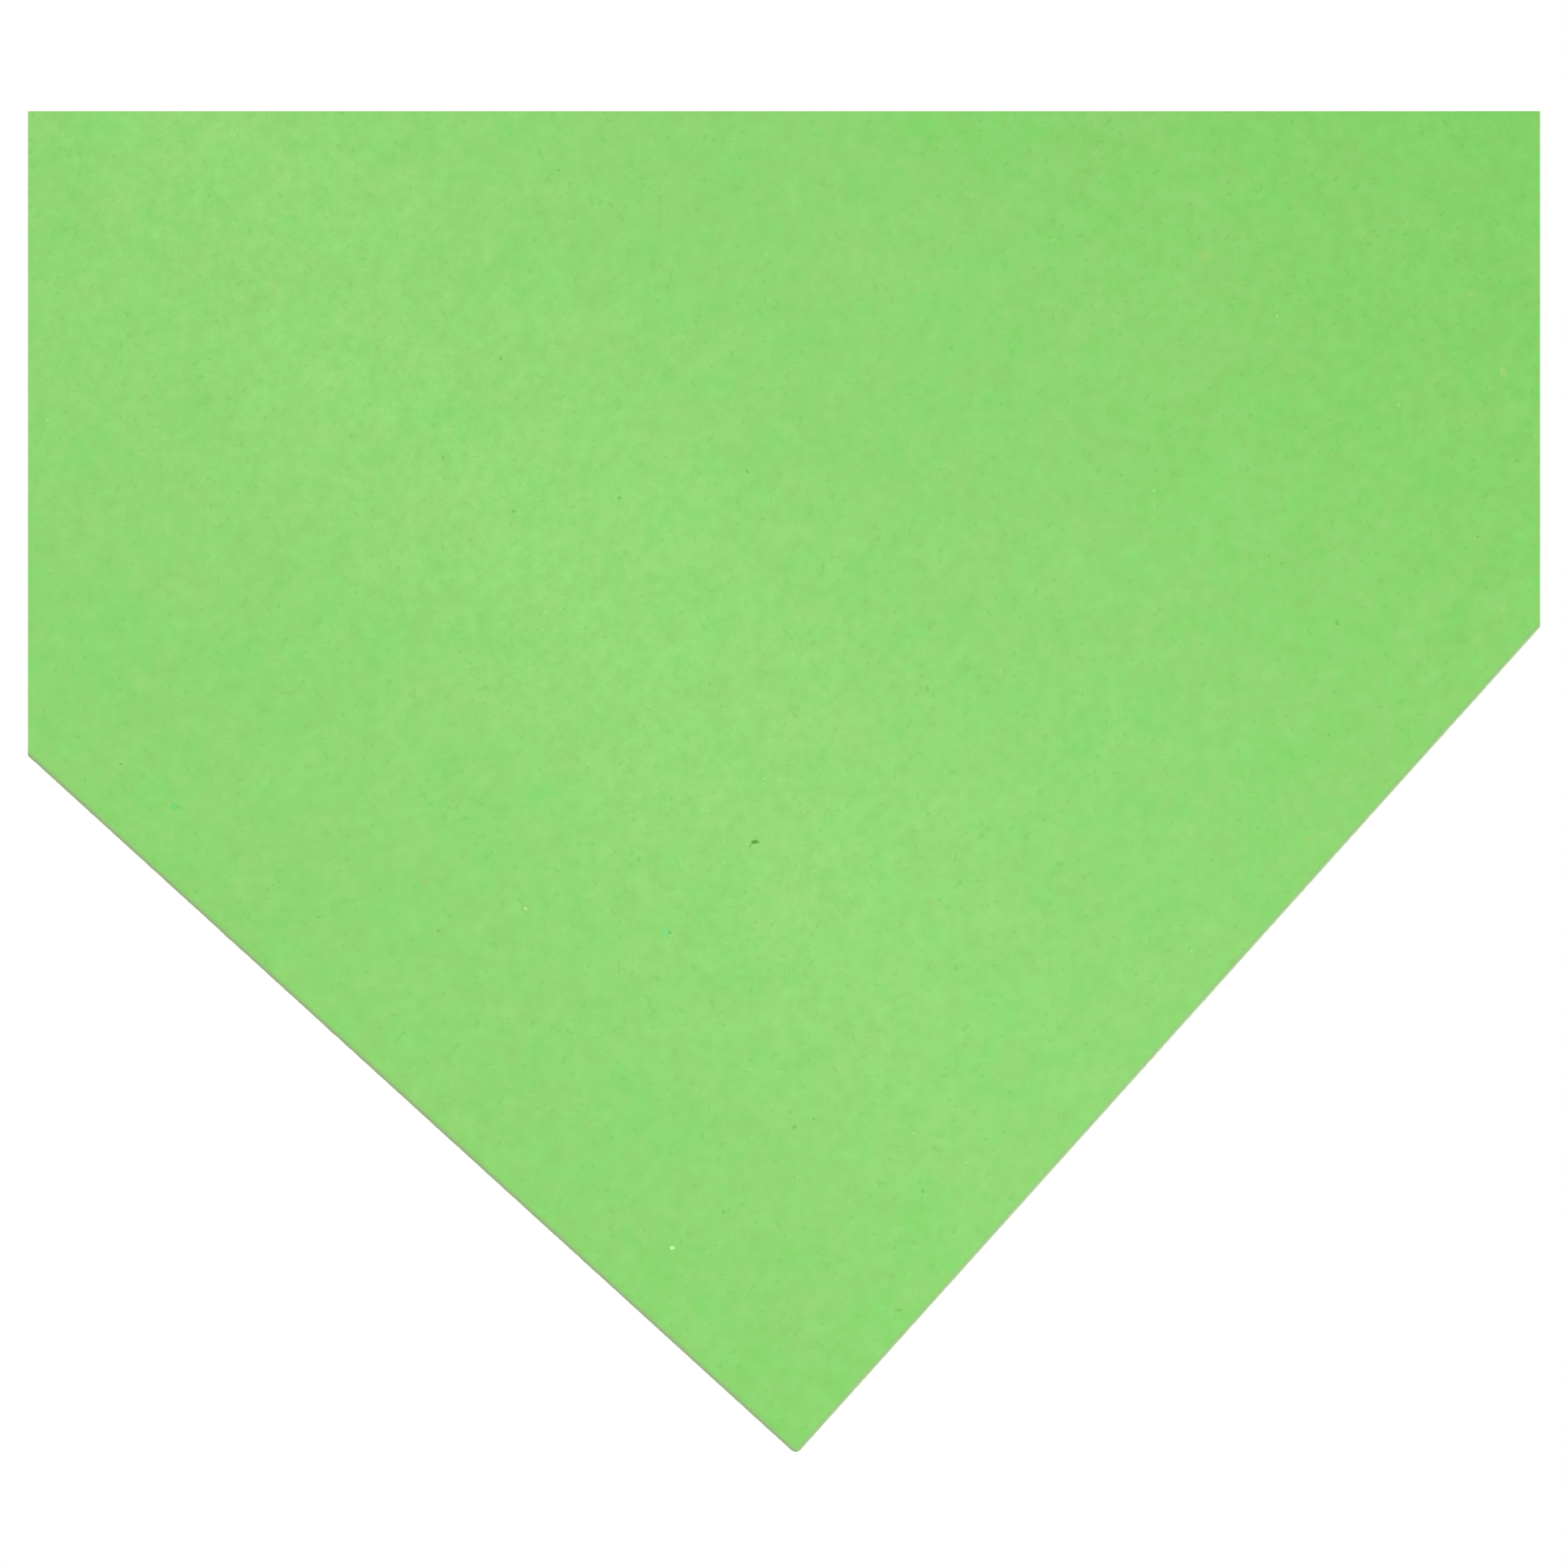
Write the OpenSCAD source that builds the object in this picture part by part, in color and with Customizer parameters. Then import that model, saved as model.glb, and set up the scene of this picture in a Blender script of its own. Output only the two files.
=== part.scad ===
// One sheet of construction paper: a thin flat rectangle, trimmed square.
// Its underside lies on z = 0 with the origin at the middle of that face. X runs along the short
// side, Y along the long side, and the top face looks along +Z.

/* [Sheet] */
// Short side of the trimmed sheet, along X
sheet_width = 228.6; // [100:0.1:600]
// Long side of the trimmed sheet, along Y
sheet_length = 304.8; // [150:0.1:900]
// Thickness of the paper
paper_thickness = 0.25; // [0.1:0.01:1]

/* [Corners] */
// Radius to which handling has blunted each corner
corner_radius = 0.8; // [0.1:0.1:10]

/* [Hidden] */
paper_colour = [0.565, 0.843, 0.455];
corner_facets = 32;
corner_x = sheet_width / 2 - corner_radius;
corner_y = sheet_length / 2 - corner_radius;

// The trimmed outline: a long bar, a wide bar, and a disc in each corner
module trimmed_outline() {
    square([2 * corner_x, sheet_length], center = true);
    square([sheet_width, 2 * corner_y], center = true);
    for (x = [-corner_x, corner_x], y = [-corner_y, corner_y])
        translate([x, y])
            circle(r = corner_radius, $fn = corner_facets);
}

// The whole sheet, dyed through, so its faces and its cut edges are one material
module paper_sheet() {
    color(paper_colour)
        linear_extrude(height = paper_thickness)
            trimmed_outline();
}

paper_sheet();
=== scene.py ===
"""One sheet of light green construction paper, lying on a white table and seen from almost straight above.

The sheet's outline and thickness are the CAD model's. The lie of the paper, its cut edges, its fibres
and its specks are made here. Lengths are in millimetres up to the section on the table and the lights, and
places on the sheet are measured from the corner that the camera looks at.
"""
import math
import random

import bpy
import numpy as np
from mathutils import Matrix, Vector


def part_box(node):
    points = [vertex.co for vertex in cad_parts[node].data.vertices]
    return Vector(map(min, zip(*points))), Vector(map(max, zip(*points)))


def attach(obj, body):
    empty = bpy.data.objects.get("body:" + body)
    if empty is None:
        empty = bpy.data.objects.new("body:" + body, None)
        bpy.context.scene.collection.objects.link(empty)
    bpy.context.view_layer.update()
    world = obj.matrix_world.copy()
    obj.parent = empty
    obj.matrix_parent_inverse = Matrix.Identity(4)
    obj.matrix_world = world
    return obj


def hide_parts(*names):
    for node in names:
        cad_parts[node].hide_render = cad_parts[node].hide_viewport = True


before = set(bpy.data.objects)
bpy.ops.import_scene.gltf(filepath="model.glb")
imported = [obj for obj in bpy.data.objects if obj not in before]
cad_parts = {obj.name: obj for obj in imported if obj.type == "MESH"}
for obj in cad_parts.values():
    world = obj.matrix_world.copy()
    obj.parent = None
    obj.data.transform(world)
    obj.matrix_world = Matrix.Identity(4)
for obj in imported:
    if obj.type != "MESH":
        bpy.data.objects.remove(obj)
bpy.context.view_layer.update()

MM = 0.001
NODE = "paper_sheet"

low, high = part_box(NODE)
SHEET_W, SHEET_L, PAPER_T = [(b - a) / MM for a, b in zip(low, high)]
CORNER = (low[0] / MM, low[1] / MM)
TABLE_Z = low[2] / MM


# ---------------------------------------------------------------- the lie of the paper

# Long low swells in the sheet: centre x and y, heading of the crest from +Y in degrees, half length,
# half width, and height
SWELLS = (
    (58, 88, -12, 150, 36, 0.85),
    (176, 190, -10, 110, 34, 0.70),
    (120, 285, 20, 60, 40, 0.55),
    (214, 60, -30, 50, 26, 0.40),
    (20, 250, -5, 60, 26, 0.45),
)
# The three far corners curl up a little: which corner, how far the curl reaches in, and its height
CURLS = (
    ((1, 1), 72.0, 3.4),
    ((0, 1), 58.0, 2.3),
    ((1, 0), 46.0, 1.5),
)
# One shallow thumb dent: centre x and y, half width and depth
DENT = (64.0, 164.0, 4.5, 0.05)
COCKLE_HEIGHT = 0.055
COCKLE_WAVELENGTHS = (16, 70)
FELT_HEIGHT = 0.006
FELT_WAVELENGTHS = (3.0, 7.0)
# Gravity presses the margins down: the share of the lie's height left at the very edge, and how far in
# from the edge the rest comes back
EDGE_SHARE = 0.12
MARGIN_REACH = 26
# Where the lie dips below the contact level the sheet rests on the table, with a soft bend in and out
CONTACT_LEVEL = 0.02
CONTACT_SOFTNESS = 0.05


def ripples(seed, count, wavelengths):
    """Seeded sine waves in every direction: a list of (wave vector x, wave vector y, phase)."""
    rng = random.Random(seed)
    waves = []
    for _ in range(count):
        heading = rng.uniform(0, math.pi)
        number = 2 * math.pi / rng.uniform(*wavelengths)
        waves.append((number * math.cos(heading), number * math.sin(heading), rng.uniform(0, 2 * math.pi)))
    return waves


COCKLE = ripples(seed=11, count=22, wavelengths=COCKLE_WAVELENGTHS)
FELT = ripples(seed=12, count=40, wavelengths=FELT_WAVELENGTHS)


def sum_of(waves, x, y):
    """The waves added up at x, y, scaled to about -1 to 1."""
    total = sum(np.sin(kx * x + ky * y + phase) for kx, ky, phase in waves)
    return total / math.sqrt(2 * len(waves))


def curl(x, y):
    """Lift of the curled corners, in mm: each one rolls up about a line across its corner."""
    lift = np.zeros_like(x)
    for (far_x, far_y), reach, top in CURLS:
        from_corner = abs(far_x * SHEET_W - x) + abs(far_y * SHEET_L - y)
        share = np.clip(1 - from_corner / math.sqrt(2) / reach, 0, None)
        lift = lift + top * share ** 2
    return lift


def underside(x, y):
    """Height of the sheet's underside above the table, in mm, at x, y from the corner."""
    x, y = np.asarray(x, float), np.asarray(y, float)
    height = np.zeros_like(x)
    for cx, cy, heading, half_length, half_width, top in SWELLS:
        turn = math.radians(heading)
        along = (y - cy) * math.cos(turn) - (x - cx) * math.sin(turn)
        across = (x - cx) * math.cos(turn) + (y - cy) * math.sin(turn)
        height = height + top * np.exp(-(along / half_length) ** 2 - (across / half_width) ** 2)
    dx, dy, half_width, depth = DENT
    height = height - depth * np.exp(-((x - dx) ** 2 + (y - dy) ** 2) / half_width ** 2)
    height = height + COCKLE_HEIGHT * sum_of(COCKLE, x, y)
    margin = np.minimum(np.minimum(x, SHEET_W - x), np.minimum(y, SHEET_L - y))
    free = EDGE_SHARE + (1 - EDGE_SHARE) * (1 - np.exp(-np.maximum(margin, 0) / MARGIN_REACH))
    above_contact = height * free - CONTACT_LEVEL
    resting = CONTACT_SOFTNESS * np.logaddexp(0, above_contact / CONTACT_SOFTNESS)
    return resting + curl(x, y)


def upper_side(x, y):
    """Height of the top face above the table, in mm: the underside, the thickness and the felt marks."""
    x, y = np.asarray(x, float), np.asarray(y, float)
    return underside(x, y) + PAPER_T + FELT_HEIGHT * sum_of(FELT, x, y)


def to_world(points):
    """Turns points in mm from the corner into metres in the CAD frame."""
    points = np.asarray(points, float)
    return (points + np.array([CORNER[0], CORNER[1], TABLE_Z])) * MM


def add_piece(name, points, faces, material, smooth=True):
    """Makes one mesh piece from points in mm, and lets it ride on the sheet's body."""
    mesh = bpy.data.meshes.new(name)
    mesh.from_pydata(to_world(points).tolist(), [], faces)
    mesh.validate()
    mesh.update()
    if smooth:
        mesh.shade_smooth()
    mesh.materials.append(material)
    piece = bpy.data.objects.new(name, mesh)
    bpy.context.scene.collection.objects.link(piece)
    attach(piece, "root")
    return piece


# ---------------------------------------------------------------- the sheet's mesh

INSET = 1.0        # the plain grid stops this far inside the cut edge
TOP_CELLS = (225, 300)  # cells of the top's grid, across the sheet and along it
UNDER_STEP = 3     # one cell of the underside spans this many of the top's
RIM_STEPS = 3      # points along the cut edge for each cell of the top's grid
CORNER_RADIUS = 0.8
CORNER_STEPS = 8   # steps along the cut edge round each blunted corner
# The cut edge's cross-section, from the top face down: inset from the edge, height as a share of the
# thickness, and how much of the edge's roughness shows there
CUT_PROFILE = (
    (0.34, 1.00, 0.0),
    (0.20, 0.96, 0.3),
    (0.09, 0.80, 0.6),
    (0.02, 0.55, 1.0),
    (0.000, 0.28, 1.0),
    (0.010, 0.04, 1.0),
    (0.30, 0.00, 0.0),
)
CUT_WAVELENGTHS = (0.7, 5.0)
CUT_WAVES = ripples(seed=13, count=16, wavelengths=CUT_WAVELENGTHS)
CUT_ROUGHNESS = 0.028
# The waves are read closer together than they are made, and shifted from the edge's bottom to its top
CUT_FINENESS = 3
CUT_SHIFT = 7


def grid(cells):
    """Points of a rectangular grid inside the rim, row by row, as arrays of x and y."""
    xs = np.linspace(INSET, SHEET_W - INSET, cells[0] + 1)
    ys = np.linspace(INSET, SHEET_L - INSET, cells[1] + 1)
    x, y = np.meshgrid(xs, ys)
    return x.ravel(), y.ravel()


def grid_faces(cells, first, flip):
    """The grid's quads, starting at vertex number first."""
    row = cells[0] + 1
    faces = []
    for j in range(cells[1]):
        for i in range(cells[0]):
            a = first + j * row + i
            quad = (a, a + 1, a + 1 + row, a + row)
            faces.append(quad[::-1] if flip else quad)
    return faces


def border(cells, first):
    """The grid's border vertices in order round the sheet, one list for each side."""
    nx, ny = cells
    row = nx + 1
    bottom = [first + i for i in range(nx + 1)]
    right = [first + nx + j * row for j in range(ny + 1)]
    top = [first + ny * row + i for i in range(nx, -1, -1)]
    left = [first + j * row for j in range(ny, -1, -1)]
    return [bottom, right, top, left]


def rim_path():
    """The trimmed outline, anticlockwise from the near corner: its points and their outward directions."""
    r = CORNER_RADIUS
    ends = [(r, 0), (SHEET_W, r), (SHEET_W - r, SHEET_L), (0, SHEET_L - r)]
    headings = [(1, 0), (0, 1), (-1, 0), (0, -1)]
    lengths = [SHEET_W - 2 * r, SHEET_L - 2 * r] * 2
    points, outwards = [], []
    for side in range(4):
        hx, hy = headings[side]
        steps = TOP_CELLS[side % 2] * RIM_STEPS
        for k in range(steps + 1):
            s = lengths[side] * k / steps
            points.append((ends[side][0] + hx * s, ends[side][1] + hy * s))
            outwards.append((hy, -hx))
        centre = (points[-1][0] - hy * r, points[-1][1] + hx * r)
        start = math.atan2(-hx, hy)
        for k in range(1, CORNER_STEPS):
            angle = start + math.pi / 2 * k / CORNER_STEPS
            way = (math.cos(angle), math.sin(angle))
            points.append((centre[0] + r * way[0], centre[1] + r * way[1]))
            outwards.append(way)
    return np.array(points), np.array(outwards)


def rim_ring(path, outwards, inset, level, rough):
    """One ring of the cut edge, at that inset and level, with the blade's slight roughness."""
    wave_x = path[:, 0] * CUT_FINENESS
    wave_y = path[:, 1] * CUT_FINENESS + CUT_SHIFT * level
    wobble = CUT_ROUGHNESS * sum_of(CUT_WAVES, wave_x, wave_y)
    # a corner's ring shrinks towards the middle of its arc and no further
    shift = np.maximum(wobble * rough, -CORNER_RADIUS / 2) - inset
    flat = path + outwards * shift[:, None]
    z = underside(flat[:, 0], flat[:, 1]) + PAPER_T * level
    if level == 1:
        z = upper_side(flat[:, 0], flat[:, 1])
    return np.column_stack([flat, z])


def stitch(inner_sides, ring, span, flip):
    """Triangles between a grid's border and a rim ring that has span points to each border cell."""
    faces = []
    at = 0
    total = len(ring)
    for side in inner_sides:
        for cell in range(len(side) - 1):
            a, b = side[cell], side[cell + 1]
            half = span // 2
            for k in range(half):
                faces.append((a, ring[(at + k) % total], ring[(at + k + 1) % total]))
            faces.append((a, ring[(at + half) % total], b))
            for k in range(half, span):
                faces.append((b, ring[(at + k) % total], ring[(at + k + 1) % total]))
            at += span
        for k in range(CORNER_STEPS):
            faces.append((side[-1], ring[(at + k) % total], ring[(at + k + 1) % total]))
        at += CORNER_STEPS
    return [f[::-1] for f in faces] if flip else faces


def make_sheet(material):
    """The sheet as one closed mesh: a fine top, a coarser underside and the cut edge between them."""
    under_cells = (TOP_CELLS[0] // UNDER_STEP, TOP_CELLS[1] // UNDER_STEP)
    top_x, top_y = grid(TOP_CELLS)
    under_x, under_y = grid(under_cells)
    path, outwards = rim_path()
    rings = [rim_ring(path, outwards, *step) for step in CUT_PROFILE]
    top_points = np.column_stack([top_x, top_y, upper_side(top_x, top_y)])
    under_points = np.column_stack([under_x, under_y, underside(under_x, under_y)])
    points = np.vstack([top_points, under_points, *rings])

    first_under = len(top_points)
    first_ring = first_under + len(under_points)
    around = len(path)
    ring_starts = [first_ring + k * around for k in range(len(rings))]
    ring_ids = [list(range(start, start + around)) for start in ring_starts]
    faces = grid_faces(TOP_CELLS, 0, False) + grid_faces(under_cells, first_under, True)
    faces += stitch(border(TOP_CELLS, 0), ring_ids[0], RIM_STEPS, False)
    faces += stitch(border(under_cells, first_under), ring_ids[-1], RIM_STEPS * UNDER_STEP, True)
    for upper, lower in zip(ring_ids, ring_ids[1:]):
        for k in range(around):
            n = (k + 1) % around
            faces.append((upper[k], lower[k], lower[n], upper[n]))
    sheet = add_piece("green_sheet", points, faces, material)
    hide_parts(NODE)


# ---------------------------------------------------------------- fibres and specks

CHIP_OUTLINE = (0.78, 1.12)  # a chip's outline wanders between these shares of its size
CHIP_RIM = 0.006             # how far its rim stands above the face
CHIP_DEPTH = 0.03            # how far its lower point is below the face
BIG_CHIP = 0.6               # chips longer than this get more sides
BIG_CHIP_SIDES = 14
SMALL_CHIP_SIDES = 9


def add_flake(points, faces, x, y, length, width, heading, sides, rng, bulge):
    """One chip pressed into the face: a flat lens with an uneven outline, half of it below the surface."""
    first = len(points)
    c, s = math.cos(heading), math.sin(heading)
    for k in range(sides):
        angle = 2 * math.pi * k / sides
        reach = rng.uniform(*CHIP_OUTLINE)
        a = length / 2 * math.cos(angle) * reach
        b = width / 2 * math.sin(angle) * reach
        px, py = x + a * c - b * s, y + a * s + b * c
        points.append((px, py, float(upper_side(px, py)) + CHIP_RIM))
    z = float(upper_side(x, y))
    points.append((x, y, z + bulge))
    points.append((x, y, z - CHIP_DEPTH))
    over, below = first + sides, first + sides + 1
    for k in range(sides):
        n = (k + 1) % sides
        faces.append((first + k, first + n, over))
        faces.append((first + n, first + k, below))


# The marks that stand out on the photographed corner: x, y, length, width, heading in degrees
DARK_MARKS = (
    (52.2, 54.1, 1.15, 0.46, 132),
)
FAINT_MARKS = (
    (72.5, 95.0, 0.65, 0.45, 150),
    (51.5, 54.2, 0.60, 0.28, 177),
    (36.9, 54.4, 0.60, 0.45, 120),
    (29.5, 27.0, 0.65, 0.50, 40),
    (120.5, 19.0, 0.80, 0.45, 60),
    (41.1, 63.2, 0.55, 0.40, 45),
    (16.0, 26.5, 0.55, 0.40, 20),
    (85.5, 85.5, 0.55, 0.35, 80),
    (21.5, 2.5, 0.95, 0.35, 130),
    (75.5, 117.5, 0.50, 0.35, 10),
    (62.5, 103.5, 0.50, 0.35, 140),
    (80.5, 51.0, 1.00, 0.30, 45),
    (7.7, 109.8, 0.50, 0.40, 100),
)
PALE_MARKS = (
    (8.5, 28.2, 0.72, 0.55, 132),
    (27.2, 69.5, 0.60, 0.50, 75),
)
COOL_MARKS = (
    (36.6, 54.7, 1.35, 1.00, 80),
    (7.5, 110.0, 1.10, 0.90, 100),
)
WARM_MARKS = (
    (8.5, 28.2, 1.15, 0.90, 132),
    (27.2, 69.5, 1.30, 1.10, 75),
    (157.5, 24.5, 1.40, 1.10, 60),
    (135.5, 5.0, 1.30, 0.90, 20),
    (98.0, 4.0, 1.20, 0.90, 110),
    (143.5, 61.5, 2.00, 1.20, 132),
    (21.5, 81.0, 1.30, 0.90, 80),
)
# How many more of each kind are scattered over the sheet, and their shortest and longest in mm
DARK_SPECKS = (12, 0.15, 0.35)
FAINT_SPECKS = (280, 0.20, 0.60)
PALE_SPECKS = (10, 0.10, 0.25)
LIGHT_SPECKS = (230, 0.15, 0.50)
COOL_SPECKS = (26, 0.20, 0.60)
WARM_SPECKS = (60, 0.40, 1.30)
SPECK_MARGIN = 3            # no scattered speck is nearer to the edge than this
SPECK_SHAPES = (0.35, 0.8)  # a speck's width as a share of its length
SPECK_SKEW = 3              # the higher this power, the more of the specks are small


def scattered(rng, count, shortest, longest):
    """Seeded marks all over the sheet, most of them small."""
    marks = []
    for _ in range(count):
        length = shortest + (longest - shortest) * rng.random() ** SPECK_SKEW
        marks.append((
            rng.uniform(SPECK_MARGIN, SHEET_W - SPECK_MARGIN),
            rng.uniform(SPECK_MARGIN, SHEET_L - SPECK_MARGIN),
            length,
            length * rng.uniform(*SPECK_SHAPES),
            rng.uniform(0, 180),
        ))
    return marks


def make_flakes(name, marks, specks, material, seed, bulge):
    """One piece that holds all the chips of one kind: the placed marks and the scattered specks."""
    rng = random.Random(seed)
    points, faces = [], []
    for x, y, length, width, heading in [*marks, *scattered(rng, *specks)]:
        sides = BIG_CHIP_SIDES if length > BIG_CHIP else SMALL_CHIP_SIDES
        add_flake(points, faces, x, y, length, width, math.radians(heading), sides, rng, bulge)
    add_piece(name, points, faces, material, smooth=False)


FIBRE_TIP = 0.25   # a fibre's width at its two ends, as a share of its width in the middle
FIBRE_SINK = 0.3   # how much of its height a fibre's lower corners are below its path


def add_fibre(points, faces, path, half_width, height):
    """A fibre as a closed three-sided tube along path, a list of (x, y, z), thinning to its two ends."""
    first = len(points)
    last = len(path) - 1
    for k, (x, y, z) in enumerate(path):
        ahead, behind = path[min(k + 1, last)], path[max(k - 1, 0)]
        heading = math.atan2(ahead[1] - behind[1], ahead[0] - behind[0])
        taper = FIBRE_TIP + (1 - FIBRE_TIP) * math.sin(math.pi * (k + 0.5) / (last + 1))
        sx = -math.sin(heading) * half_width * taper
        sy = math.cos(heading) * half_width * taper
        points.append((x + sx, y + sy, z - FIBRE_SINK * height))
        points.append((x - sx, y - sy, z - FIBRE_SINK * height))
        points.append((x, y, z + height * taper))
    for k in range(last):
        a = first + 3 * k
        for i, j in ((0, 1), (1, 2), (2, 0)):
            faces.append((a + i, a + j, a + 3 + j, a + 3 + i))
    faces.append((first + 2, first + 1, first))
    faces.append((first + 3 * last, first + 3 * last + 1, first + 3 * last + 2))


FACE_FIBRES = 2600                   # of each colour
FACE_FIBRE_LENGTHS = (0.7, 2.6)
FACE_FIBRE_HALF_WIDTHS = (0.012, 0.028)
FACE_FIBRE_HEIGHT = 0.012
FACE_FIBRE_MARGIN = 2                # no fibre starts nearer to the edge than this
FACE_FIBRE_LIMIT = 0.5               # and none reaches nearer to it than this
FACE_FIBRE_STEPS = 4
GRAIN_HEADING = (math.pi / 2, 1.3)   # more of them lie along the sheet: mean and spread, in radians
GRAIN_BEND = 0.35                    # spread of a fibre's turn from one step to the next, in radians

EDGE_FIBRES = 1500
EDGE_FIBRE_ROOT = 0.12               # how far inside the edge a fibre of the fuzz starts
EDGE_FIBRE_REACH = (0.05, 0.22)      # how far it stands out at least, and how much more at most
EDGE_FIBRE_LEVELS = (0.15, 0.95)     # where it leaves the edge, as a share of the thickness
EDGE_FIBRE_FAN = 0.8                 # spread of its heading round the outward direction, in radians
EDGE_FIBRE_BEND = 0.25
EDGE_FIBRE_RISE = 0.05
EDGE_FIBRE_FLOOR = 0.01              # no fibre goes lower than this above the table
EDGE_FIBRE_STEPS = 3
EDGE_FIBRE_HALF_WIDTH = 0.011
EDGE_FIBRE_HEIGHT = 0.009


def make_face_fibres(name, count, material, seed):
    """Loose ends of fibre that lie on the top face, gently curved, in every direction."""
    rng = random.Random(seed)
    points, faces = [], []
    for _ in range(count):
        x = rng.uniform(FACE_FIBRE_MARGIN, SHEET_W - FACE_FIBRE_MARGIN)
        y = rng.uniform(FACE_FIBRE_MARGIN, SHEET_L - FACE_FIBRE_MARGIN)
        heading = rng.gauss(*GRAIN_HEADING)
        bend = rng.gauss(0, GRAIN_BEND)
        step = rng.uniform(*FACE_FIBRE_LENGTHS) / FACE_FIBRE_STEPS
        flat = []
        for _ in range(FACE_FIBRE_STEPS + 1):
            flat.append((x, y))
            x = min(max(x + step * math.cos(heading), FACE_FIBRE_LIMIT), SHEET_W - FACE_FIBRE_LIMIT)
            y = min(max(y + step * math.sin(heading), FACE_FIBRE_LIMIT), SHEET_L - FACE_FIBRE_LIMIT)
            heading += bend
        xs, ys = np.array(flat).T
        path = list(zip(xs, ys, upper_side(xs, ys).tolist()))
        add_fibre(points, faces, path, rng.uniform(*FACE_FIBRE_HALF_WIDTHS), FACE_FIBRE_HEIGHT)
    add_piece(name, points, faces, material)


def make_edge_fibres(name, count, material, seed):
    """The fuzz that the blade leaves: short fibres that stand out of the cut edge."""
    rng = random.Random(seed)
    path, outwards = rim_path()
    points, faces = [], []
    for _ in range(count):
        k = rng.randrange(len(path))
        way = math.atan2(outwards[k][1], outwards[k][0]) + rng.gauss(0, EDGE_FIBRE_FAN)
        shortest, extra = EDGE_FIBRE_REACH
        reach = shortest + extra * rng.random() ** 2
        x, y = path[k] - outwards[k] * EDGE_FIBRE_ROOT
        base = float(underside(x, y)) + PAPER_T * rng.uniform(*EDGE_FIBRE_LEVELS)
        rise = rng.gauss(0, EDGE_FIBRE_RISE)
        fibre = []
        for j in range(EDGE_FIBRE_STEPS + 1):
            share = j / EDGE_FIBRE_STEPS
            fx = x + math.cos(way) * (EDGE_FIBRE_ROOT + reach) * share
            fy = y + math.sin(way) * (EDGE_FIBRE_ROOT + reach) * share
            fibre.append((fx, fy, max(base + rise * share ** 2, EDGE_FIBRE_FLOOR)))
            way += rng.gauss(0, EDGE_FIBRE_BEND)
        add_fibre(points, faces, fibre, EDGE_FIBRE_HALF_WIDTH, EDGE_FIBRE_HEIGHT)
    add_piece(name, points, faces, material)


# ---------------------------------------------------------------- materials

STREAK_BEND_SIZE = 3.5  # lump size in mm of the noise that bends the streaks of fibre
STREAK_BEND = 0.9       # and how far it bends them, in mm
# Each set of streaks is read at a place of its own: its shift is taken in these shares on x, y and z
SHIFT_SHARES = (1.0, 0.37, 1.7)
# Each layer of pulp or dye is read this far above the one before it, in mm
LAYER_SHIFT = 31.0
# A mix node has sockets for several types of value under the same names: these ones are for colours
MIX_COLOURS = (6, 7)
MIXED_COLOUR = 2


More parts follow.
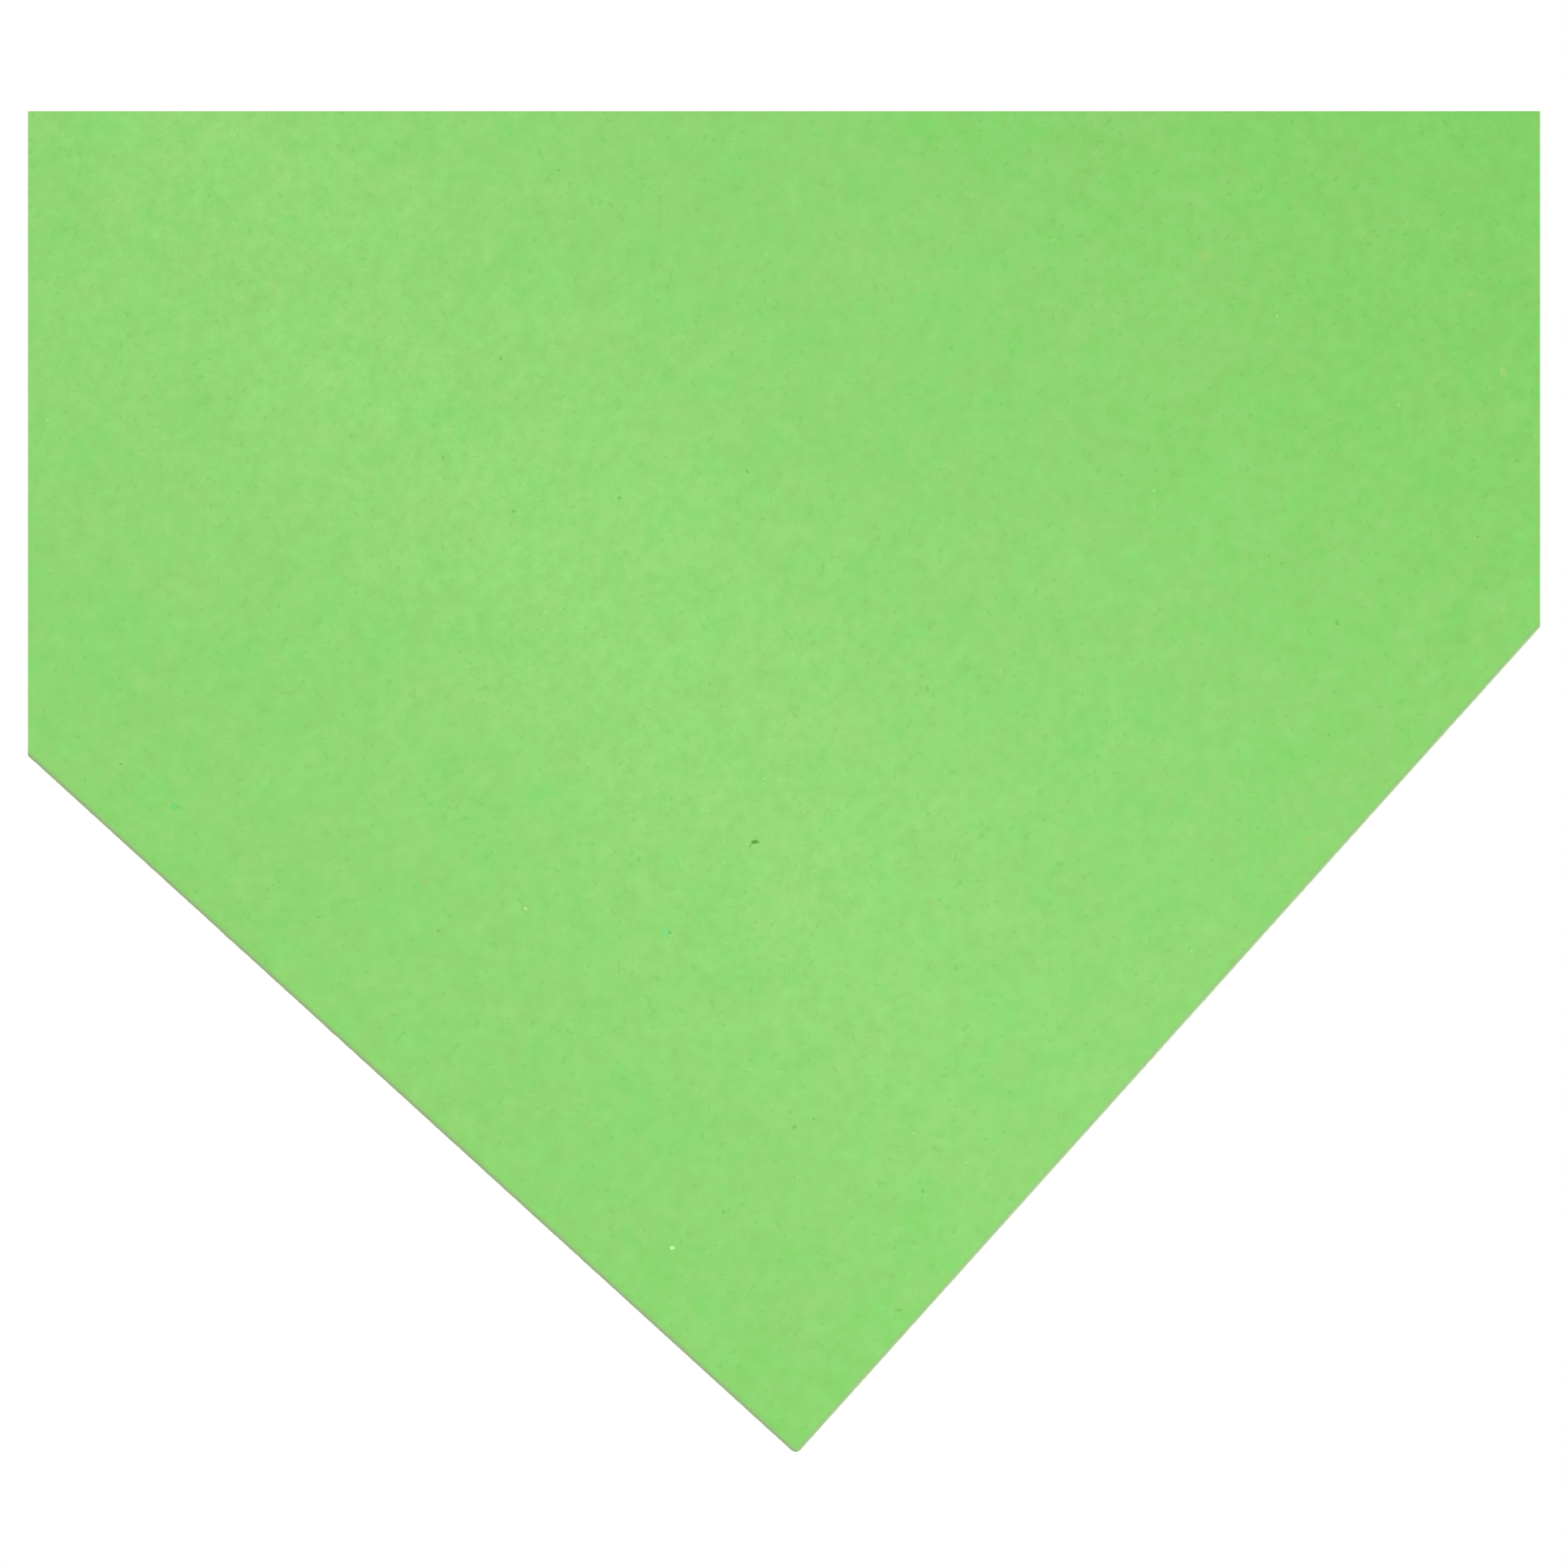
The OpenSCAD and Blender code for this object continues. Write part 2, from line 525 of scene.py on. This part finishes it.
class Graph:
    """A material's node tree, with a short call for each kind of node."""

    def __init__(self, name):
        self.material = bpy.data.materials.new(name)
        self.material.use_nodes = True
        self.tree = self.material.node_tree
        self.tree.nodes.clear()
        self.shader = self.node("ShaderNodeBsdfPrincipled")
        output = self.node("ShaderNodeOutputMaterial")
        self.tree.links.new(self.shader.outputs["BSDF"], output.inputs["Surface"])
        place = self.node("ShaderNodeTexCoord").outputs["Object"]
        self.mm = self.vector("SCALE", place, scale=1 / MM)

    def node(self, kind, **settings):
        """Adds a node of that kind, with those settings."""
        node = self.tree.nodes.new(kind)
        for key, value in settings.items():
            setattr(node, key, value)
        return node

    def put(self, socket, value):
        """Links value to the socket if it is another node's output, and sets it if it is a number."""
        if isinstance(value, bpy.types.NodeSocket):
            self.tree.links.new(value, socket)
        else:
            socket.default_value = value

    def vector(self, operation, a, b=None, scale=None):
        """Vector arithmetic on a and b, or on a and a scale."""
        node = self.node("ShaderNodeVectorMath", operation=operation)
        self.put(node.inputs[0], a)
        if b is not None:
            self.put(node.inputs[1], b)
        if scale is not None:
            node.inputs["Scale"].default_value = scale
        return node.outputs[0]

    def bump(self, height, strength, distance):
        """Makes that height, from 0 to 1, a relief of that distance in mm on the shader."""
        node = self.node("ShaderNodeBump")
        node.inputs["Strength"].default_value = strength
        node.inputs["Distance"].default_value = distance * MM
        self.put(node.inputs["Height"], height)
        self.put(self.shader.inputs["Normal"], node.outputs["Normal"])

    def roughness(self, noise, middle, spread):
        """Makes the shader's roughness vary with a noise, by that spread around that middle."""
        varied = self.math("MULTIPLY_ADD", noise, spread)
        varied.node.inputs[2].default_value = middle - spread / 2
        self.put(self.shader.inputs["Roughness"], varied)

    def math(self, operation, a, b=0.0, clamp=False):
        """Arithmetic on a and b, held between 0 and 1 if clamp is set."""
        node = self.node("ShaderNodeMath", operation=operation, use_clamp=clamp)
        self.put(node.inputs[0], a)
        self.put(node.inputs[1], b)
        return node.outputs[0]

    def noise(self, place, size, detail=2.0, roughness=0.5):
        """Noise from 0 to 1 whose lumps are about size mm across."""
        node = self.node("ShaderNodeTexNoise", noise_dimensions="3D")
        self.put(node.inputs["Vector"], place)
        node.inputs["Scale"].default_value = 1 / size
        node.inputs["Detail"].default_value = detail
        node.inputs["Roughness"].default_value = roughness
        return node.outputs["Fac"]

    def ramp(self, value, start, end):
        """0 below start, 1 above end, and smooth between them."""
        node = self.node("ShaderNodeMapRange", interpolation_type="SMOOTHSTEP")
        self.put(node.inputs["Value"], value)
        node.inputs["From Min"].default_value = start
        node.inputs["From Max"].default_value = end
        return node.outputs["Result"]

    def mix(self, share, a, b, blend="MIX"):
        """The colour a with that share of the colour b mixed or multiplied into it."""
        node = self.node("ShaderNodeMix", data_type="RGBA", blend_type=blend)
        self.put(node.inputs["Factor"], share)
        for socket, colour in zip(MIX_COLOURS, (a, b)):
            linked = isinstance(colour, bpy.types.NodeSocket)
            self.put(node.inputs[socket], colour if linked else (*colour, 1.0))
        return node.outputs[MIXED_COLOUR]

    def fibres(self, heading, width, length, start, end, shift):
        """Thin streaks that run one way: noise stretched along a heading, cut off at a level."""
        node = self.node("ShaderNodeMapping", vector_type="TEXTURE")
        bend = self.noise(self.mm, STREAK_BEND_SIZE, detail=0.0)
        bent = self.vector("ADD", self.mm, self.vector("SCALE", self.spread(bend), scale=STREAK_BEND))
        self.put(node.inputs["Vector"], bent)
        node.inputs["Location"].default_value = [shift * share for share in SHIFT_SHARES]
        node.inputs["Rotation"].default_value = (0.0, 0.0, math.radians(heading))
        node.inputs["Scale"].default_value = (width, length, width)
        streak = self.noise(node.outputs["Vector"], 1.0, detail=1.0)
        return self.ramp(streak, start, end)

    def from_edge(self):
        """Distance in mm in from the sheet's outline, up to the radius of its corners and no more."""
        inner = (SHEET_W / 2 - CORNER_RADIUS, SHEET_L / 2 - CORNER_RADIUS, 0.0)
        flat = self.vector("MULTIPLY", self.mm, (1.0, 1.0, 0.0))
        beyond = self.vector("SUBTRACT", self.vector("ABSOLUTE", flat), inner)
        beyond = self.vector("MAXIMUM", beyond, (0.0, 0.0, 0.0))
        reach = self.node("ShaderNodeVectorMath", operation="LENGTH")
        self.put(reach.inputs[0], beyond)
        return self.math("SUBTRACT", CORNER_RADIUS, reach.outputs["Value"])

    def moved(self, shift):
        """The place in mm, moved up by shift, so that a noise read there is unlike the ones read here."""
        return self.vector("ADD", self.mm, (0.0, 0.0, shift))

    def layers(self, table, shift):
        """Noises of several lump sizes added up around 0.5, from a table of size in mm and weight."""
        total = 0.5
        for k, (size, weight) in enumerate(table):
            wave = self.noise(self.moved(shift + LAYER_SHIFT * k), size, detail=1.0)
            part = self.math("MULTIPLY", self.math("SUBTRACT", wave, 0.5), weight)
            total = self.math("ADD", part, total)
        return self.math("ADD", total, 0.0, clamp=True)

    def spread(self, value):
        """The same number on the x and y axes, around zero."""
        node = self.node("ShaderNodeCombineXYZ")
        centred = self.math("SUBTRACT", value, 0.5)
        self.put(node.inputs["X"], centred)
        self.put(node.inputs["Y"], centred)
        return node.outputs["Vector"]


# The paper's colours, in linear light: its deepest and its palest pulp, its freckles and dark streaks, its
# pale streaks, and a darker, greyer rim along the cut that is painted shade for the shadow line at the edge
PAPER_DEEP = (0.1405, 0.4338, 0.0733)
PAPER_PALE = (0.1648, 0.4832, 0.0988)
PAPER_SHADE = (0.116, 0.385, 0.060)
PAPER_FIBRE = (0.280, 0.555, 0.185)
RIM_SHADE_COLOUR = (0.215, 0.348, 0.148)
# The rim's painted shade, darker and greyer than the face: full up to the first distance from the edge, and
# none past the second, in mm
RIM_SHADE_REACH = (0.22, 0.65)
# The dye's drift: what it multiplies the paper's red, green and blue by at its coolest and its warmest
DYE_COOL = (0.815, 1.015, 0.915)
DYE_WARM = (1.185, 0.985, 1.085)
# Lump size in mm and weight of each layer of lighter and darker pulp, and of the dye's drift
PULP_LAYERS = ((34.0, 0.25), (12.0, 0.22), (6.0, 0.38), (2.9, 0.83), (1.5, 1.10), (0.30, 0.12))
DYE_LAYERS = ((13.0, 0.42), (6.3, 0.74), (3.1, 0.74), (1.5, 0.55))
# Freckles, small spots of deeper dye: size in mm, the two ends of the ramp that cuts them off, and strength
FRECKLE_SIZE = 0.85
FRECKLE_RAMP = (0.72, 0.80)
FRECKLE_STRENGTH = 0.45
# Streaks of fibre: headings in degrees, then for the pale and the dark ones width and length in mm, the two
# ends of the ramp that cuts them off, and how strongly they show
FIBRE_HEADINGS = (8, 47, 83, 118, 159)
PALE_STREAK = (0.11, 1.9, 0.66, 0.78)
DARK_STREAK = (0.10, 1.5, 0.68, 0.80)
PALE_STREAK_STRENGTH = 0.20
DARK_STREAK_STRENGTH = 0.25
# The dark ones are turned by so many degrees from the pale ones. STREAK_SHIFT is each heading's shift from
# the heading before, and DARK_STREAK_SHIFT the dark ones' shift from the pale ones, in mm.
DARK_STREAK_TURN = 21
STREAK_SHIFT = 13.0
DARK_STREAK_SHIFT = 5
# The noises of the face: lump sizes in mm, and their shares of the relief
MOTTLE_SIZE = 1.3
GRAIN_SIZE = 0.30
MOTTLE_RELIEF = 0.7
GRAIN_RELIEF = 0.5
STREAK_RELIEF = 0.5
RELIEF_HEIGHT = 0.011
PAPER_ROUGHNESS = 0.367
ROUGHNESS_SPREAD = 0.16
DIFFUSE_ROUGHNESS = 0.6
RIM_SHADE_WANDER = 0.25  # how far, in mm, the inner side of the painted-shade rim wanders with the mottle
# The dye and the freckles are read this far up from the pulp, so that their noises are unlike it
DYE_SHIFT = 400.0
FRECKLE_SHIFT = 900.0


def paper_streaks(g):
    """The streaks of fibre that run in every direction: the pale ones and the dark ones."""
    pale, dark = 0.0, 0.0
    for k, heading in enumerate(FIBRE_HEADINGS):
        shift = STREAK_SHIFT * k
        pale_streak = g.fibres(heading, *PALE_STREAK, shift)
        dark_streak = g.fibres(heading + DARK_STREAK_TURN, *DARK_STREAK, shift + DARK_STREAK_SHIFT)
        pale = g.math("MAXIMUM", pale_streak, pale)
        dark = g.math("MAXIMUM", dark_streak, dark)
    return pale, dark


def paper_colour(g, mottle, pale, dark):
    """Cloudy pulp and drifting dye under the streaks and the freckles, and a darker rim of painted shade
    along the cut.
    """
    tone = g.layers(PULP_LAYERS, 0.0)
    dye = g.layers(DYE_LAYERS, DYE_SHIFT)
    freckle = g.ramp(g.noise(g.moved(FRECKLE_SHIFT), FRECKLE_SIZE, detail=0.0), *FRECKLE_RAMP)
    ragged = g.math("MULTIPLY", g.math("SUBTRACT", mottle, 0.5), RIM_SHADE_WANDER)
    face = g.ramp(g.math("ADD", g.from_edge(), ragged), *RIM_SHADE_REACH)

    colour = g.mix(tone, PAPER_DEEP, PAPER_PALE)
    colour = g.mix(1.0, colour, g.mix(dye, DYE_COOL, DYE_WARM), blend="MULTIPLY")
    colour = g.mix(g.math("MULTIPLY", pale, PALE_STREAK_STRENGTH), colour, PAPER_FIBRE)
    colour = g.mix(g.math("MULTIPLY", dark, DARK_STREAK_STRENGTH), colour, PAPER_SHADE)
    colour = g.mix(g.math("MULTIPLY", freckle, FRECKLE_STRENGTH), colour, PAPER_SHADE)
    # Painted shade: near the cut the colour gives way to a darker, greyer rim that stands for the edge's
    # shadow line
    return g.mix(face, RIM_SHADE_COLOUR, colour)


def paper_material():
    """Uncoated paper dyed in the pulp, matte and finely rough."""
    g = Graph("construction_paper")
    mottle = g.noise(g.mm, MOTTLE_SIZE, detail=2.0, roughness=0.6)
    grain = g.noise(g.mm, GRAIN_SIZE, detail=1.0)
    pale, dark = paper_streaks(g)
    g.put(g.shader.inputs["Base Color"], paper_colour(g, mottle, pale, dark))
    g.shader.inputs["Diffuse Roughness"].default_value = DIFFUSE_ROUGHNESS
    g.roughness(mottle, PAPER_ROUGHNESS, ROUGHNESS_SPREAD)

    relief = g.math("MULTIPLY", grain, GRAIN_RELIEF)
    relief = g.math("ADD", relief, g.math("MULTIPLY", mottle, MOTTLE_RELIEF))
    streaks = g.math("MAXIMUM", pale, dark)
    relief = g.math("ADD", relief, g.math("MULTIPLY", streaks, STREAK_RELIEF))
    g.bump(relief, strength=1.0, distance=RELIEF_HEIGHT)
    return g.material


# The two tints that each kind of chip and fibre drifts between
TINTS = {
    "dark_chip": ((0.036, 0.22, 0.012), (0.060, 0.28, 0.026)),
    "faint_chip": ((0.105, 0.360, 0.055), (0.125, 0.400, 0.068)),
    "pale_chip": ((0.37, 0.77, 0.27), (0.27, 0.56, 0.195)),
    "light_chip": ((0.195, 0.525, 0.115), (0.225, 0.555, 0.140)),
    "cool_chip": ((0.150, 0.475, 0.152), (0.101, 0.440, 0.111)),
    "warm_chip": ((0.196, 0.413, 0.102), (0.190, 0.420, 0.099)),
    "pale_fibre": ((0.180, 0.498, 0.107), (0.202, 0.518, 0.126)),
    "deep_fibre": ((0.137, 0.424, 0.077), (0.149, 0.443, 0.085)),
}
TINT_DRIFT_SIZE = 6.0         # lump size in mm of the drift from one tint to the other
TINT_DRIFT_RAMP = (0.35, 0.65)
TINT_GRAIN_SIZE = 0.12        # and of the grain inside one fibre or chip
TINT_GRAIN_SHARE = 0.25
FIBRE_ROUGHNESS = 0.6
FIBRE_ROUGHNESS_SPREAD = 0.2
FIBRE_RELIEF_STRENGTH = 0.6
FIBRE_RELIEF = 0.006
FIBRE_SPECULAR = 0.2


def fibre_material(name):
    """A fibre or chip whose colour drifts between its two tints from one part of the sheet to the next."""
    g = Graph(name)
    drift = g.ramp(g.noise(g.mm, TINT_DRIFT_SIZE, detail=1.0), *TINT_DRIFT_RAMP)
    grain = g.noise(g.mm, TINT_GRAIN_SIZE, detail=1.0)
    drift_part = g.math("MULTIPLY", drift, 1 - TINT_GRAIN_SHARE)
    share = g.math("ADD", drift_part, g.math("MULTIPLY", grain, TINT_GRAIN_SHARE))
    g.put(g.shader.inputs["Base Color"], g.mix(share, *TINTS[name]))
    g.roughness(grain, FIBRE_ROUGHNESS, FIBRE_ROUGHNESS_SPREAD)
    g.bump(grain, FIBRE_RELIEF_STRENGTH, FIBRE_RELIEF)
    g.shader.inputs["Specular IOR Level"].default_value = FIBRE_SPECULAR
    return g.material


# ---------------------------------------------------------------- table, light and camera

# Light directions and places are given along the picture's right, along its up and straight up from the
# table. The lengths of the lights and the table are in metres.
# WORLD_LIGHT and SUN_LIGHT are the light that reaches the table, as a share of what makes it pure white.
WORLD_LIGHT = 0.635
SUN_LIGHT = 0.365
SUN_WAY = (0.815, -0.27, 0.50)
SUN_ANGLE = 14
SUN_DISTANCE = 2
STRIP_POWER = 1.9
STRIP_PLACE = (-0.085, 0.107, 0.75)
STRIP_WAY = (0.676, -0.737, 0.0)
STRIP_SIZE = (0.148, 0.590)
STRIP_COLOUR = (1.0, 0.98, 0.74)
FILL_POWER = 1.0
FILL_WAY = (0.80, -0.68, 1.0)
FILL_REACH = 0.35
FILL_SIZE = 0.2
TABLE_RADIUS = 8.0
TABLE_SIDES = 64
TABLE_GAP = 0.00002          # the table top is this far below the sheet
BACKDROP_HEIGHTS = (-1.0, 7.0)
TABLE_WHITE = (0.985, 0.985, 0.985)
TABLE_ROUGHNESS = 0.8


def plain_white(name, glow=0.0):
    """A white without any shine, or with a glow a black that gives off white light by itself."""
    material = bpy.data.materials.new(name)
    material.use_nodes = True
    shader = material.node_tree.nodes["Principled BSDF"]
    shader.inputs["Base Color"].default_value = (*TABLE_WHITE, 1.0)
    shader.inputs["Roughness"].default_value = TABLE_ROUGHNESS
    shader.inputs["Specular IOR Level"].default_value = 0.0
    if glow:
        shader.inputs["Base Color"].default_value = (0.0, 0.0, 0.0, 1.0)
        shader.inputs["Emission Color"].default_value = (1.0, 1.0, 1.0, 1.0)
        shader.inputs["Emission Strength"].default_value = glow
    return material


def add_stage(name, points, faces, material):
    """Makes one stage object from points in metres."""
    mesh = bpy.data.meshes.new(name)
    mesh.from_pydata(points, [], faces)
    mesh.materials.append(material)
    thing = bpy.data.objects.new(name, mesh)
    bpy.context.scene.collection.objects.link(thing)
    return thing


def seen_by_camera_only(thing):
    """Hides the thing from every ray but the camera's, so that it gives no light and casts no shadow."""
    for ray in ("diffuse", "glossy", "transmission", "volume_scatter", "shadow"):
        setattr(thing, f"visible_{ray}", False)


def make_table():
    """A white table top, and a white backdrop all round and above it that only the camera sees."""
    sides = TABLE_SIDES
    angles = [2 * math.pi * k / sides for k in range(sides)]
    rim = [(TABLE_RADIUS * math.cos(angle), TABLE_RADIUS * math.sin(angle)) for angle in angles]
    z = TABLE_Z * MM - TABLE_GAP
    add_stage("table", [(x, y, z) for x, y in rim], [tuple(range(sides))], plain_white("table_white"))
    low_ring = [(x, y, BACKDROP_HEIGHTS[0]) for x, y in rim]
    high_ring = [(x, y, BACKDROP_HEIGHTS[1]) for x, y in rim]
    walls = [(k, (k + 1) % sides, sides + (k + 1) % sides, sides + k) for k in range(sides)]
    walls.append(tuple(range(sides, 2 * sides)))
    backdrop = add_stage("backdrop", low_ring + high_ring, walls, plain_white("backdrop_white", 1.0))
    seen_by_camera_only(backdrop)


# The corner of the sheet as the camera sees it: how far its left cut edge is turned from the picture's
# lower side, in degrees, and the point of the sheet under the middle of the picture, in mm
LEFT_EDGE_ANGLE = 42.13
AIM = (59.92, 56.24)
CAMERA_TILT = 2.6  # from straight down; the top of the picture is the farther part
FIELD = 193.2      # width of the picture at the sheet, in mm
LENS = 100.0
SENSOR = 36.0
CLIP = (0.0004, 20.0)  # the nearest and the farthest that the camera sees, in metres


def picture_axes():
    """The picture's right and up directions flat on the table, and straight up, in the CAD frame."""
    turn = math.radians(90 - LEFT_EDGE_ANGLE)
    right = Vector((math.cos(turn), -math.sin(turn), 0.0))
    up = Vector((math.sin(turn), math.cos(turn), 0.0))
    return right, up, Vector((0.0, 0.0, 1.0))


def aim_point():
    """The point of the top face that the camera and the lights aim at, in metres."""
    return Vector(to_world([(AIM[0], AIM[1], PAPER_T)])[0])


def make_camera():
    """The camera, a little off straight down."""
    data = bpy.data.cameras.new("camera")
    data.lens = LENS
    data.sensor_width = SENSOR
    data.clip_start, data.clip_end = CLIP
    camera = bpy.data.objects.new("camera", data)
    bpy.context.scene.collection.objects.link(camera)
    right, up, overhead = picture_axes()
    tilt = math.radians(CAMERA_TILT)
    back = overhead * math.cos(tilt) - up * math.sin(tilt)
    up = up * math.cos(tilt) + overhead * math.sin(tilt)
    distance = FIELD * MM * LENS / SENSOR
    turn = Matrix((right, up, back)).transposed().to_4x4()
    camera.matrix_world = Matrix.Translation(aim_point() + back * distance) @ turn
    bpy.context.scene.camera = camera
    return camera


# The photograph's own white margins, as shares of the picture's width
SIDE_MARGIN = 0.0178
TOP_MARGIN = 0.0709
MAT_DISTANCE = 2.0 * MM  # from the camera to the mat that makes those margins
# How far the mat and the window's lower side are from the picture's middle, in half widths of the picture
MAT_REACH = 1.3
WINDOW_REACH = 1.2


def make_window_mat(camera):
    """A white card with a window, right in front of the lens, that crops the picture like the photograph."""
    half = MAT_DISTANCE * SENSOR / 2 / LENS
    outer = MAT_REACH * half
    side = half * (1 - 2 * SIDE_MARGIN)
    bottom = -WINDOW_REACH * half
    top = half * (1 - 2 * TOP_MARGIN)
    card = [(-outer, -outer), (outer, -outer), (outer, outer), (-outer, outer)]
    window = [(-side, bottom), (side, bottom), (side, top), (-side, top)]
    points = [camera.matrix_world @ Vector((x, y, -MAT_DISTANCE)) for x, y in card + window]
    faces = [(0, 1, 5, 4), (1, 2, 6, 5), (2, 3, 7, 6), (3, 0, 4, 7)]
    mat = add_stage("window_mat", points, faces, plain_white("mat_white", 1.0))
    seen_by_camera_only(mat)


def mixed(axes, shares):
    """The sum of the picture's three directions, each taken in that share."""
    return sum((axis * share for axis, share in zip(axes, shares)), Vector((0.0, 0.0, 0.0)))


def add_light(kind, name, place, aim, **settings):
    """A lamp at a place that shines towards the aim."""
    data = bpy.data.lights.new(name, kind)
    for key, value in settings.items():
        setattr(data, key, value)
    light = bpy.data.objects.new(name, data)
    bpy.context.scene.collection.objects.link(light)
    light.location = place
    light.rotation_mode = "QUATERNION"
    light.rotation_quaternion = (Vector(place) - Vector(aim)).to_track_quat("Z", "Y")
    return light


def make_lights():
    """A wide sun and a side fill from the picture's right, a softbox overhead, and an even white room."""
    world = bpy.data.worlds.new("room")
    world.use_nodes = True
    world.node_tree.nodes["Background"].inputs["Color"].default_value = (1.0, 1.0, 1.0, 1.0)
    world.node_tree.nodes["Background"].inputs["Strength"].default_value = WORLD_LIGHT
    bpy.context.scene.world = world

    axes = picture_axes()
    overhead = axes[2]
    aim = aim_point()
    sun_way = mixed(axes, SUN_WAY).normalized()
    sun_place = aim + sun_way * SUN_DISTANCE
    energy = SUN_LIGHT * math.pi / sun_way.z
    add_light("SUN", "window_light", sun_place, aim, energy=energy, angle=math.radians(SUN_ANGLE))

    strip_way = mixed(axes, STRIP_WAY).normalized()
    centre = aim + mixed(axes, STRIP_PLACE)
    strip = add_light(
        "AREA", "softbox", centre, centre - overhead,
        energy=STRIP_POWER, shape="RECTANGLE", size=STRIP_SIZE[0], size_y=STRIP_SIZE[1],
    )
    turn = Matrix((strip_way.cross(overhead), strip_way, overhead)).transposed()
    strip.rotation_quaternion = turn.to_quaternion()
    strip.data.color = STRIP_COLOUR

    fill_place = aim + mixed(axes, FILL_WAY) * FILL_REACH
    add_light("AREA", "side_fill", fill_place, aim, energy=FILL_POWER, shape="DISK", size=FILL_SIZE)


# ---------------------------------------------------------------- making it all

bpy.context.scene.view_settings.view_transform = "Standard"
make_table()
make_lights()
make_window_mat(make_camera())

make_sheet(paper_material())
tinted = {name: fibre_material(name) for name in TINTS}

# Each kind of chip has listed marks, scattered specks, and a bulge in mm
make_flakes("dark_shives", DARK_MARKS, DARK_SPECKS, tinted["dark_chip"], seed=21, bulge=0.018)
make_flakes("faint_specks", FAINT_MARKS, FAINT_SPECKS, tinted["faint_chip"], seed=22, bulge=0.010)
make_flakes("pale_flecks", PALE_MARKS, PALE_SPECKS, tinted["pale_chip"], seed=23, bulge=0.016)
make_flakes("light_specks", (), LIGHT_SPECKS, tinted["light_chip"], seed=24, bulge=0.010)
make_flakes("cool_specks", COOL_MARKS, COOL_SPECKS, tinted["cool_chip"], seed=25, bulge=0.010)
make_flakes("warm_specks", WARM_MARKS, WARM_SPECKS, tinted["warm_chip"], seed=26, bulge=0.010)
make_face_fibres("pale_fibres", FACE_FIBRES, tinted["pale_fibre"], seed=31)
make_face_fibres("deep_fibres", FACE_FIBRES, tinted["deep_fibre"], seed=32)
make_edge_fibres("edge_fibres", EDGE_FIBRES, tinted["pale_fibre"], seed=33)
